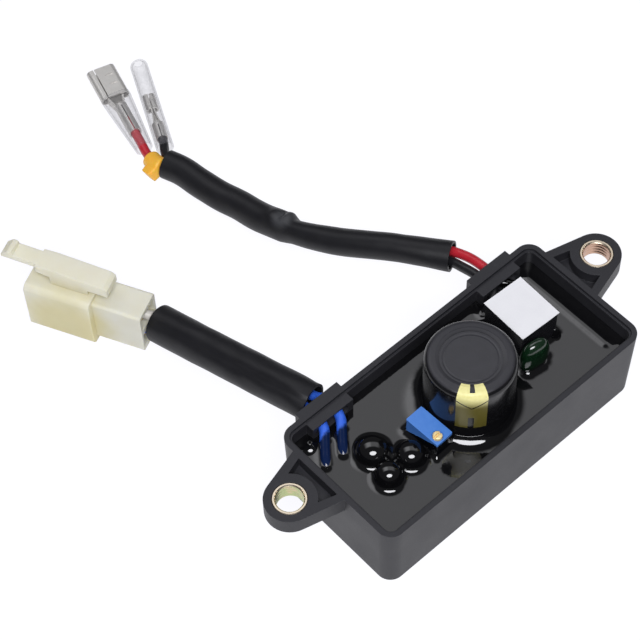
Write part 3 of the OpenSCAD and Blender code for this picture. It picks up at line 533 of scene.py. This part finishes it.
# Tray: black glass-filled plastic, moulded in one piece with its ears and lead inlets.
# The mould was spark-finished outside, which leaves a fine even grain.
def grained_black(on):
    grain = on.mottle(0.22, 3)
    cloud = on.mottle(9, 3)
    rub = on.mottle(1.6, 4).step(0.58, 0.74)
    base = (cloud * 0.7 + rub * 0.3).mix(ink(34, 34, 38), ink(46, 46, 51))
    return {"Base Color": base, "Roughness": 0.36 + 0.16 * cloud + 0.1 * grain,
            "Normal": on.relief(grain, 0.02, 0.5)}


tray_black = finish("tray_black", grained_black, IOR=1.5, Specular_IOR_Level=0.42)
dress("housing", tray_black, edge=0.45)


# Bushes: short steel tubes, yellow zinc plated, pressed into the ears so that a bolt can't crush them.
# Both ends are faced and chamfered, and the bores keep the fine rings of the tool.
bush_r, bore_r, bush_low, bush_top, chamfer = 3.9, 3.1, 16.3, 20.9, 0.3
bush_x, bush_y = 47.5, 4.5
ring_pace = 6.3


def turned(profile, steps, at=(0, 0, 0), closed=True):
    """A profile of radius and height, turned round an upright axis."""
    points, faces = [], []
    rows = len(profile)
    for k in range(steps):
        a = 2 * math.pi * k / steps
        points += [(at[0] + r * math.cos(a), at[1] + r * math.sin(a), at[2] + z) for r, z in profile]
    for k in range(steps):
        n = (k + 1) % steps
        for i in range(rows if closed else rows - 1):
            j = (i + 1) % rows
            faces.append((k * rows + i, n * rows + i, n * rows + j, k * rows + j))
    if not closed:
        for i in (0, rows - 1):
            faces.append(tuple(k * rows + i for k in range(steps)))
    return points, faces


def yellow_zinc(on):
    """Pale on the end faces, a painted highlight; the bores are darker, painted shade, greenish in the near
    bore and reddish in the far one.
    """
    tint = on.mottle(1.8, 3)
    greenish = [(0.35, ink(206, 190, 150)), (0.5, ink(190, 196, 142)), (0.62, ink(178, 190, 136)),
                (0.75, ink(214, 180, 160))]
    near_bore_tint_and_shade = tint.node("ValToRGB", {"stops": greenish}, {0: tint})
    bore = (on.x > 0).mix(near_bore_tint_and_shade, tint.mix(ink(176, 140, 116), ink(222, 186, 164)))
    end_face_highlight = on.z.step(bush_top - 0.45, bush_top - 0.15)
    rings = (on.z * ring_pace).math("SINE")
    return {"Base Color": end_face_highlight.mix(bore, tint.mix(ink(244, 226, 198), ink(236, 224, 204))),
            "Roughness": 0.24 + 0.16 * tint, "Normal": on.relief(rings, 0.05, 0.5)}


bush_zinc = finish("yellow_zinc", yellow_zinc, Metallic=1)
bush_profile = [(bore_r, bush_low + chamfer), (bore_r + chamfer, bush_low),
                (bush_r - chamfer / 2, bush_low), (bush_r, bush_low + chamfer / 2),
                (bush_r, bush_top - chamfer / 2), (bush_r - chamfer / 2, bush_top),
                (bore_r + chamfer, bush_top), (bore_r, bush_top - chamfer)]
for name, x in (("near", -bush_x), ("far", bush_x)):
    points, faces = turned(bush_profile, 96, (x, bush_y, 0))
    piece("bush_" + name, points, faces, bush_zinc, ["mount_bush_" + name], crease=25)


# Board and the parts under the resin: a glass-fibre board with a thyristor, four diodes and resistors.
# The board rests on the tray's posts, and the resin holds everything in its place.
def board_green(on):
    weave = on.root.node("TexWave", {"wave_type": "BANDS"},
                         {"Vector": on.place, "Scale": 1.2, "Distortion": 1.5})
    return {"Base Color": weave.mix(ink(36, 84, 50), ink(56, 112, 70)), "Roughness": 0.35 + 0.2 * weave}


def moulded_dark(on):
    grain = on.mottle(0.2, 2)
    return {"Base Color": grain.mix(ink(24, 24, 27), ink(42, 42, 46)), "Roughness": 0.4 + 0.25 * grain,
            "Normal": on.relief(grain, 0.02, 0.4)}


def banded_resistor(on):
    band = (on.x * 2.2).math("PINGPONG", 1) > 0.72
    return {"Base Color": band.mix(ink(206, 180, 132), ink(128, 62, 34)),
            "Roughness": 0.3 + 0.2 * on.mottle(0.6)}


dress("circuit_board", finish("board_green", board_green))
moulded = finish("moulded_dark", moulded_dark)
dress("thyristor", moulded, edge=0.2, steps=2)
for i in range(1, 5):
    dress("diode_%d" % i, moulded)
resistor_paint = finish("banded_resistor", banded_resistor)
for i in range(1, 4):
    dress("resistor_%d" % i, resistor_paint)
for node in ("capacitor_terminals", "trimmer_pins", "boxed_part_pins"):
    dress(node, tinned)


# Capacitor: an aluminium can in a printed shrink sleeve, with a plain disc under the sleeve's lip.
# A gold stripe marks the minus side; it runs down the side and over the top edge.
can_at = (-0.2, -2)
can_r, can_top, can_low, lip_r, edge_r, skin_t = 10.35, 34.3, 10.1, 6.95, 1.75, 0.35
stripe_turn, stripe_half, stripe_low = math.radians(-132.8), math.radians(19.5), 21.8
bar_half, bar_out, bar_over, bar_under = math.radians(3.6), 9.2, 33, 25.9
chevron_at, chevron_rise, chevron_half = 29.6, 2.4, 0.2


def printed_sleeve(on):
    """Glossy black film and a gold stripe, with a bar left black at each end and a chevron between them."""
    x, y = on.x - can_at[0], on.y - can_at[1]
    c, s = math.cos(stripe_turn), math.sin(stripe_turn)
    along, across = x * c + y * s, y * c - x * s
    r = (along * along + across * across) ** 0.5
    off = abs(across.math("ARCTAN2", along))
    stripe = (off < stripe_half) * (on.z > stripe_low)
    top_bar = (off < bar_half) * (r < bar_out) * (on.z > bar_over)
    low_bar = (off < bar_half) * (on.z < bar_under)
    chevron = abs(on.z - chevron_at - off * (chevron_rise / stripe_half)) < chevron_half
    gold = (stripe - top_bar - low_bar - chevron).math("MAXIMUM", 0)
    wear = on.mottle(0.7, 3)
    bright = wear.mix(ink(222, 214, 138), ink(242, 236, 170))
    # Painted shade: the gold is bright near the top edge and darkens to olive lower down the side.
    gold_with_painted_shade = on.z.step(29.2, 33.2).mix(ink(94, 87, 37), bright)
    film = on.mottle(2.5, 3)
    # Painted light: the sleeve's top is lighter grey than its glossy black side, and rougher too.
    flat = on.z.step(can_top - 0.5, can_top - 0.1)
    black = flat.mix(film.mix(ink(15, 15, 17), ink(22, 22, 24)), film.mix(ink(44, 44, 48), ink(52, 52, 57)))
    return {"Base Color": gold.mix(black, gold_with_painted_shade),
            "Roughness": 0.13 + 0.06 * film + flat * 0.24 + gold * 0.15,
            "Normal": on.relief(film, 0.05, 0.25)}


shrink_sleeve = finish("shrink_sleeve", printed_sleeve, IOR=1.55, Specular_IOR_Level=0.36)
outside = [(can_r, can_low), (can_r, can_top - edge_r - 6)]
outside += [(can_r - edge_r * (1 - math.cos(a)), can_top - edge_r * (1 - math.sin(a)))
            for a in (math.radians(d) for d in range(0, 91, 6))]
outside += [(can_r - edge_r - 0.8, can_top + 0.03), (lip_r + 1.2, can_top - 0.03), (lip_r, can_top - 0.27)]
bend_r = edge_r - skin_t
inside = [(lip_r, can_top - skin_t), (can_r - edge_r, can_top - skin_t)]
inside += [(can_r - edge_r + bend_r * math.cos(a), can_top - edge_r + bend_r * math.sin(a))
           for a in (math.radians(d) for d in range(75, -1, -15))]
inside += [(can_r - skin_t, can_low)]
points, faces = turned(outside + inside, 160, (can_at[0], can_at[1], 0))
piece("printed_sleeve", points, faces, shrink_sleeve, ["capacitor_sleeve"], crease=50)


def bare_can(on):
    draw = on.mottle(0.5, 3, (1, 1, 0.08))
    return {"Base Color": draw.mix(ink(176, 178, 182), ink(212, 214, 217)), "Roughness": 0.25 + 0.2 * draw}


def disc_black(on):
    x, y = on.x - can_at[0], on.y - can_at[1]
    r = (x * x + y * y) ** 0.5
    rings = (r * 5.2).math("SINE")
    cloud = on.mottle(2.2, 4)
    return {"Base Color": cloud.mix(ink(42, 42, 46), ink(54, 54, 59)), "Roughness": 0.34 + 0.16 * cloud,
            "Normal": on.relief(rings * 0.12 + cloud * 0.5, 0.03, 0.35)}


dress("capacitor_can", finish("bare_can", bare_can, Metallic=1))
dress("capacitor_end_disc", finish("disc_black", disc_black))


# Trimmer: a multi-turn resistor in a blue moulded case, set to the right voltage at the factory.
# Its brass screw stands out of the top and turns freely.
trim_at, trim_w, trim_l, trim_turn = (-13.315, -3), 4.83, 9.53, math.radians(2)
trim_foot, trim_front, trim_top = 16.9, 1.4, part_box("trimmer_body")[1][2] / mm
dark_slope, dark_short = 0.44, 0.7


def case_blue(on):
    """Blue plastic, painted near-black and glossy below a line that climbs towards the end with the screw.
    """
    cloud = on.mottle(1.4, 3)
    run = (on.y - trim_front) * -dark_slope + 0.5 * on.mottle(2, 2)
    run = run.math("MAXIMUM", 0).math("MINIMUM", trim_top - trim_foot - dark_short)
    wet = 1 - (on.z - trim_foot - run).step(-0.15, 0.15)
    rough = 0.36 + 0.16 * cloud
    return {"Base Color": wet.mix(cloud.mix(ink(62, 118, 202), ink(84, 138, 216)), ink(10, 12, 16)),
            "Roughness": rough - wet * rough * 0.8, "Normal": on.relief(on.mottle(0.25, 2), 0.02, 0.4)}


def cut_brass(on):
    lay = on.mottle(0.3, 3, (1, 0.2, 1))
    return {"Base Color": lay.mix(ink(248, 216, 148), ink(255, 236, 182)), "Roughness": 0.4 + 0.18 * lay,
            "Normal": on.relief(lay, 0.015, 0.5)}


dress("trimmer_body", finish("case_blue", case_blue, IOR=1.5), edge=0.18)
dress("trimmer_screw", finish("cut_brass", cut_brass, Metallic=0.3), edge=0.08, steps=2)


# Round-topped parts: three small capacitors that stand close together, wetted over by the resin.
# Only their domes show, as glossy as the resin, which also climbs the tall capacitor, the box and a corner.
resin_level, tuck, tip = 16.3, 0.6, 0.02
dome_high, skirt_wide, climb_in = 0.86, 2.4, 0.3
wet_look = {"IOR": 1.62, "Specular_IOR_Level": 0.6}
domes = [(-25.03, 2.6, 3.7, 1), (-19.43, -3.8, 3.4, 1), (-26.63, -4.4, 3.0, 1.8)]
climbs = [("capacitor", can_at, can_r, 1.9, 1.6, 5.5), ("corner", (-33.8, 13.4), 0.6, 1.6, 1.0, 2.4),
          ("box", (26.3, -2.75), 0.5, 3.2, 0.6, 1.8)]


def wet_black(on):
    cloud = on.mottle(1.8, 3)
    return {"Base Color": cloud.mix(ink(9, 9, 10), ink(15, 15, 17)), "Roughness": 0.03 + 0.04 * cloud,
            "Normal": on.relief(cloud, 0.06, 0.25)}


def drawn_up(r, high, reach, wide):
    """Profile of the resin that climbs an upright round part: flat far out, steep beside the part."""
    rows = 20
    far = high * math.exp(-wide / reach)
    return [(r + d, resin_level + high * math.exp(-d / reach) - far - 0.03)
            for d in (wide * (1 - k / rows) ** 1.6 for k in range(rows + 1))]


wet_skin = finish("wet_skin", wet_black, **wet_look)
for i, (x, y, r, lift) in enumerate(domes):
    shoulder = resin_level + lift
    skirt = drawn_up(r, 1.0, 0.7, skirt_wide)
    profile = [(tip, board_top), (r, board_top), (r + skirt_wide, resin_level - tuck)] + skirt[:-1]
    profile += [(r * math.cos(a), shoulder + dome_high * r * math.sin(a))
                for a in (math.radians(d) for d in range(15, 90, 5))]
    profile += [(tip, shoulder + dome_high * r)]
    points, faces = turned(profile, 96, (x, y, 0), closed=False)
    piece("dome_%d" % (i + 1), points, faces, wet_skin, ["small_capacitor_%d" % (i + 1)], crease=80)
for name, at, r, high, reach, wide in climbs:
    profile = [(r - climb_in, resin_level - tuck), (r + wide, resin_level - tuck)]
    profile += drawn_up(r, high, reach, wide)
    profile += [(r - climb_in, profile[-1][1])]
    points, faces = turned(profile, 128, (at[0], at[1], 0))
    piece("climb_" + name, points, faces, wet_skin, crease=80)


# Film capacitor: a flat winding dipped in dark green lacquer, on two wire legs.
# The lacquer drew itself to a smooth rounded lozenge.
film_at, film_turn = (17.2, -5.2), math.radians(-10)
film_mid, film_half_x, film_half_y, film_half_z, film_square = 20.8, 3.8, 2.05, 4.7, 2.6
leg_out, leg_r = 1.7, 0.35


def laid(at, turn, x, y, z):
    """A point of a part that stands at a place, turned about its upright axis."""
    c, s = math.cos(turn), math.sin(turn)
    return (at[0] + x * c - y * s, at[1] + x * s + y * c, z)


def lozenge(rows, steps):
    """A smooth pillow: rounded-rectangle outlines that shrink towards its two faces."""
    points, faces = [], []
    for i in range(rows + 1):
        tilt = math.pi * (i / rows - 0.5)
        size = max(math.cos(tilt), 0.0) ** 0.8
        y = film_half_y * math.sin(tilt)
        for k in range(steps):
            a = 2 * math.pi * k / steps
            c, s = math.cos(a), math.sin(a)
            bulge = (abs(c) ** film_square + abs(s) ** film_square) ** (-1 / film_square)
            x, z = film_half_x * size * bulge * c, film_half_z * size * bulge * s
            x *= 1 - 0.06 * z / film_half_z
            points.append(laid(film_at, film_turn, x, y, film_mid + z + 0.1 * x))
    for i in range(rows):
        for k in range(steps):
            a, b = i * steps + k, i * steps + (k + 1) % steps
            faces.append((a, b, b + steps, a + steps))
    faces += [tuple(range(steps)), tuple(range(rows * steps, (rows + 1) * steps))]
    return points, faces


def green_lacquer(on):
    cloud = on.mottle(1.6, 3)
    return {"Base Color": cloud.mix(ink(10, 26, 15), ink(16, 44, 24)), "Roughness": 0.08 + 0.12 * cloud,
            "Normal": on.relief(cloud, 0.12, 0.4)}


lacquer = finish("green_lacquer", green_lacquer, IOR=1.55, Coat_Weight=0.5, Coat_Roughness=0.05)
points, faces = lozenge(40, 56)
leg_profile = [(tip, board_top), (leg_r, board_top), (leg_r, film_mid), (tip, film_mid)]
for side in (-1, 1):
    leg_at = laid(film_at, film_turn, side * leg_out, 0, 0)
    leg_points, leg_faces = turned(leg_profile, 16, leg_at, closed=False)
    faces += [tuple(len(points) + k for k in f) for f in leg_faces]
    points += leg_points
piece("film_lozenge", points, faces, lacquer, ["film_capacitor"])


# Boxed part: a black plastic case filled with its own resin; its top carries a blank white paper label.
# The label is stuck on, and its edges have lifted a little.
box_at, box_turn, box_w, box_l, box_top = (21.65, 3.6), math.radians(-2.5), 10.6, 12.9, 25.05
label_w, label_l, label_t, label_lift, cells = 11.2, 12.9, 0.15, 0.12, 24


def case_black(on):
    grain = on.mottle(0.3, 3)
    return {"Base Color": grain.mix(ink(20, 20, 23), ink(32, 32, 36)), "Roughness": 0.16 + 0.2 * grain,
            "Normal": on.relief(grain, 0.02, 0.4)}


def blank_paper(on):
    fibre = on.mottle(0.35, 4)
    cloud = on.mottle(3, 2)
    return {"Base Color": (fibre * 0.5 + cloud * 0.5).mix(ink(222, 222, 226), ink(238, 238, 240)),
            "Roughness": 0.55 + 0.2 * fibre, "Normal": on.relief(fibre, 0.03, 0.4)}


dress("boxed_part", finish("case_black", case_black), edge=0.3)
label_paper = finish("blank_paper", blank_paper)
points, faces = [], []
for side in (0, label_t):
    for i in range(cells + 1):
        for j in range(cells + 1):
            u, v = 2 * i / cells - 1, 2 * j / cells - 1
            z = box_top + side + label_lift * (u ** 8 + v ** 8) / 2
            points.append(laid(box_at, box_turn, u * label_w / 2, v * label_l / 2, z))
row = cells + 1
sheet = row ** 2
for i in range(cells):
    for j in range(cells):
        a = i * row + j
        faces.append((a, a + 1, a + row + 1, a + row))
        faces.append((sheet + a, sheet + a + row, sheet + a + row + 1, sheet + a + 1))
border = list(range(cells)) + [i * row + cells for i in range(cells)]
border += [cells * row + cells - j for j in range(cells)]
border += [(cells - i) * row for i in range(cells)]
faces += [(a, b, b + sheet, a + sheet) for a, b in zip(border, border[1:] + border[:1])]
piece("label_sheet", points, faces, label_paper, ["boxed_part_label"])


# Potting resin: poured in last, black and mirror smooth; it has drawn up round the parts and the leads,
# and set in a low bead near the far end. Its top is a fine grid, higher near what it has wetted.
inner_x, inner_y, inner_r = 37.3, 16.15, 1.7
inlet_face, inlet_left, inlet_right, inlet_in = 14.0, 20.2, 32.2, 0.2
grid, resin_floor, overlap = 0.25, 1.85, 0.6
bead_x, bead_half, bead_high, bead_end = 33.4, 1.3, 0.42, 14.5
lead_climb, lead_reach, lead_wet_r, climb_most = 0.55, 0.8, 1.0, 1.3


def to_wall(x, y):
    """Distance to the inside of the wall, and the nearest point on it."""
    qx, qy = abs(x) - inner_x + inner_r, abs(y) - inner_y + inner_r
    sx, sy = math.copysign(1, x), math.copysign(1, y)
    if qx > 0 and qy > 0:
        off = math.hypot(qx, qy)
        on_x, on_y = inner_x - inner_r + inner_r * qx / off, inner_y - inner_r + inner_r * qy / off
        return inner_r - off, (sx * on_x, sy * on_y)
    if qx > qy:
        return inner_x - abs(x), (sx * inner_x, y)
    return inner_y - abs(y), (x, sy * inner_y)


def to_block(x, y, at, w, l, turn):
    """Distance to an upright block, less than 0 inside it."""
    c, s = math.cos(turn), math.sin(turn)
    dx, dy = x - at[0], y - at[1]
    qx, qy = abs(dx * c + dy * s) - w / 2, abs(dy * c - dx * s) - l / 2
    return math.hypot(max(qx, 0), max(qy, 0)) + min(max(qx, qy), 0)


def to_line(x, y, a, b, r):
    """Distance to a bar with round ends, less than 0 inside it."""
    ax, ay, bx, by = a[0], a[1], b[0], b[1]
    share = ((x - ax) * (bx - ax) + (y - ay) * (by - ay)) / ((bx - ax) ** 2 + (by - ay) ** 2)
    share = min(max(share, 0), 1)
    return math.hypot(x - ax - share * (bx - ax), y - ay - share * (by - ay)) - r


round_parts = [lambda x, y, p=p: math.hypot(x - p[0], y - p[1]) - p[2]
               for p in [can_at + (can_r,)] + domes]
square_parts = [lambda x, y: to_block(x, y, trim_at, trim_w, trim_l, trim_turn),
                lambda x, y: to_block(x, y, box_at, box_w, box_l, box_turn)]
film_foot = [lambda x, y: to_line(x, y, (15.68, -4.95), (19.02, -5.55), 1.55)]
part_climbs = list(zip(square_parts + film_foot, [(0.8, 0.8), (0.9, 0.9), (0.9, 1.2)]))
wet_leads = [((-34.4, 7.4), (-31.4, 11.2)), ((-29.6, 7.1), (-26.6, 10.9)), ((30.1, 11.2), (29, 12.6)),
             ((19, 12.4), (20.7, 12.5))]


def resin_height(x, y):
    """Height of the resin's top: level, drawn up near parts and leads, with the bead and a faint swell."""
    rises = [high * math.exp(-max(near(x, y), 0) / reach) for near, (high, reach) in part_climbs]
    rises += [lead_climb * math.exp(-max(to_line(x, y, a, b, lead_wet_r), 0) / lead_reach)
              for a, b in wet_leads]
    rises.append(bead_high * bump(x, bead_x, bead_half) * min(max(bead_end - abs(y), 0) / 2, 1))
    swell = 0.04 * noise.noise(Vector((x / 7, y / 7, 0.3)))
    return resin_level + min(sum(c ** 2 for c in rises) ** 0.5, climb_most) + swell


columns, rows = int(2 * inner_x / grid) + 2, int(2 * inner_y / grid) + 2
index, points, faces = {}, [], []


def resin_point(i, j):
    """The number of a grid point, made when first asked for, and moved to the wall if it lies close."""
    if (i, j) not in index:
        x, y = -inner_x + i * grid, -inner_y + j * grid
        wall, on_wall = to_wall(x, y)
        if wall < 0.6 * grid:
            x, y = on_wall
        index[i, j] = len(points)
        points.append((x, y, resin_height(x, y)))
    return index[i, j]


for i in range(columns):
    for j in range(rows):
        x, y = -inner_x + (i + 0.5) * grid, -inner_y + (j + 0.5) * grid
        in_inlet = inlet_left + inlet_in < abs(x) < inlet_right - inlet_in and y > inlet_face + inlet_in
        clear = min(near(x, y) for near in round_parts + square_parts) > -overlap
        if to_wall(x, y)[0] > 0 and not in_inlet and clear:
            corners = ((i, j), (i + 1, j), (i + 1, j + 1), (i, j + 1))
            faces.append(tuple(resin_point(*corner) for corner in corners))
rim = {}
for f in faces:
    for a, b in zip(f, f[1:] + f[:1]):
        if (b, a) in rim:
            del rim[b, a]
        else:
            rim[a, b] = True
count = len(points)
top_faces = list(faces)
points += [(x, y, resin_floor) for x, y, z in points]
faces += [tuple(count + k for k in reversed(f)) for f in top_faces]
faces += [(b, a, count + a, count + b) for a, b in rim]
potting = finish("potting_resin", wet_black, **wet_look)
piece("potting", points, faces, potting, ["potting_resin"], crease=60)


# Studio: a white floor that keeps the object's shadow, and a soft lamp above and behind the camera.
# High on the far side hangs a bright panel, which the wet resin mirrors; all else around is dim.
floor_half, floor_low = 3, -0.0002
daylight = (0.96, 0.965, 1)
panel_mid, panel_across, panel_over = (0.293, 0.346, 0.891), (0.763, -0.646, 0), (-0.576, -0.680, 0.454)
panel_light, room_light = 1.9, 0.07


def seen(root):
    """1 for rays from the camera, in mirrors and through clear pieces, and 0 for the light on the object."""
    camera_ray, glossy_ray, clear_ray = (root.node("LightPath", out="Is %s Ray" % kind)
                                         for kind in ("Camera", "Glossy", "Transmission"))
    return (camera_ray + glossy_ray + clear_ray).math("MINIMUM", 1)


floor_mesh = bpy.data.meshes.new("floor")
floor_corners = [(x * floor_half, y * floor_half, floor_low)
                 for x, y in ((-1, -1), (1, -1), (1, 1), (-1, 1))]
floor_mesh.from_pydata(floor_corners, [], [(0, 1, 2, 3)])
floor = bpy.data.objects.new("floor", floor_mesh)
bpy.context.scene.collection.objects.link(floor)
floor_paper = bpy.data.materials.new("floor_paper")
floor_paper.use_nodes = True
tree = floor_paper.node_tree
root = Field(tree)
pale = root.node("BsdfDiffuse", None, {"Color": (0.9, 0.9, 0.9, 1)})
glow = root.node("Emission", None, {"Color": (1, 1, 1.045, 1), "Strength": 1.05})
both = root.node("MixShader", None, {0: seen(root) * 0.88, 1: pale, 2: glow})
tree.links.new(both.socket, tree.nodes["Material Output"].inputs["Surface"])
floor_mesh.materials.append(floor_paper)

world = bpy.data.worlds.new("surroundings")
world.use_nodes = True
bpy.context.scene.world = world
root = Field(world.node_tree)
toward = root.node("TexCoord", out="Generated")
off_mid, across, over = (
    root.node("VectorMath", {"operation": "DOT_PRODUCT"}, {0: toward, 1: axis}, "Value")
    for axis in (panel_mid, panel_across, panel_over))
panel = (1 - abs(over).step(0.18, 0.34)) * (1 - abs(across).step(0.4, 0.75)) * (off_mid > 0)
panel = panel * (0.5 + 0.5 * (0 - across).step(0.03, 0.25))
dim, lit = (root.node("Background", None, {"Color": daylight + (1,), "Strength": bright})
            for bright in (room_light, panel_light))
room = root.node("MixShader", None, {0: panel, 1: dim, 2: lit})
world.node_tree.links.new(room.socket, world.node_tree.nodes["World Output"].inputs["Surface"])

lamp = bpy.data.lights.new("softbox", "AREA")
lamp.shape = "ELLIPSE"
lamp.size, lamp.size_y = 0.58, 0.36
lamp.energy = 6.3
lamp.color = daylight
softbox = bpy.data.objects.new("softbox", lamp)
softbox.location = Vector((-0.28, -0.33, 0.68))
softbox.rotation_euler = (Vector((0, 0.03, 0)) - softbox.location).to_track_quat("-Z", "Y").to_euler()
bpy.context.scene.collection.objects.link(softbox)
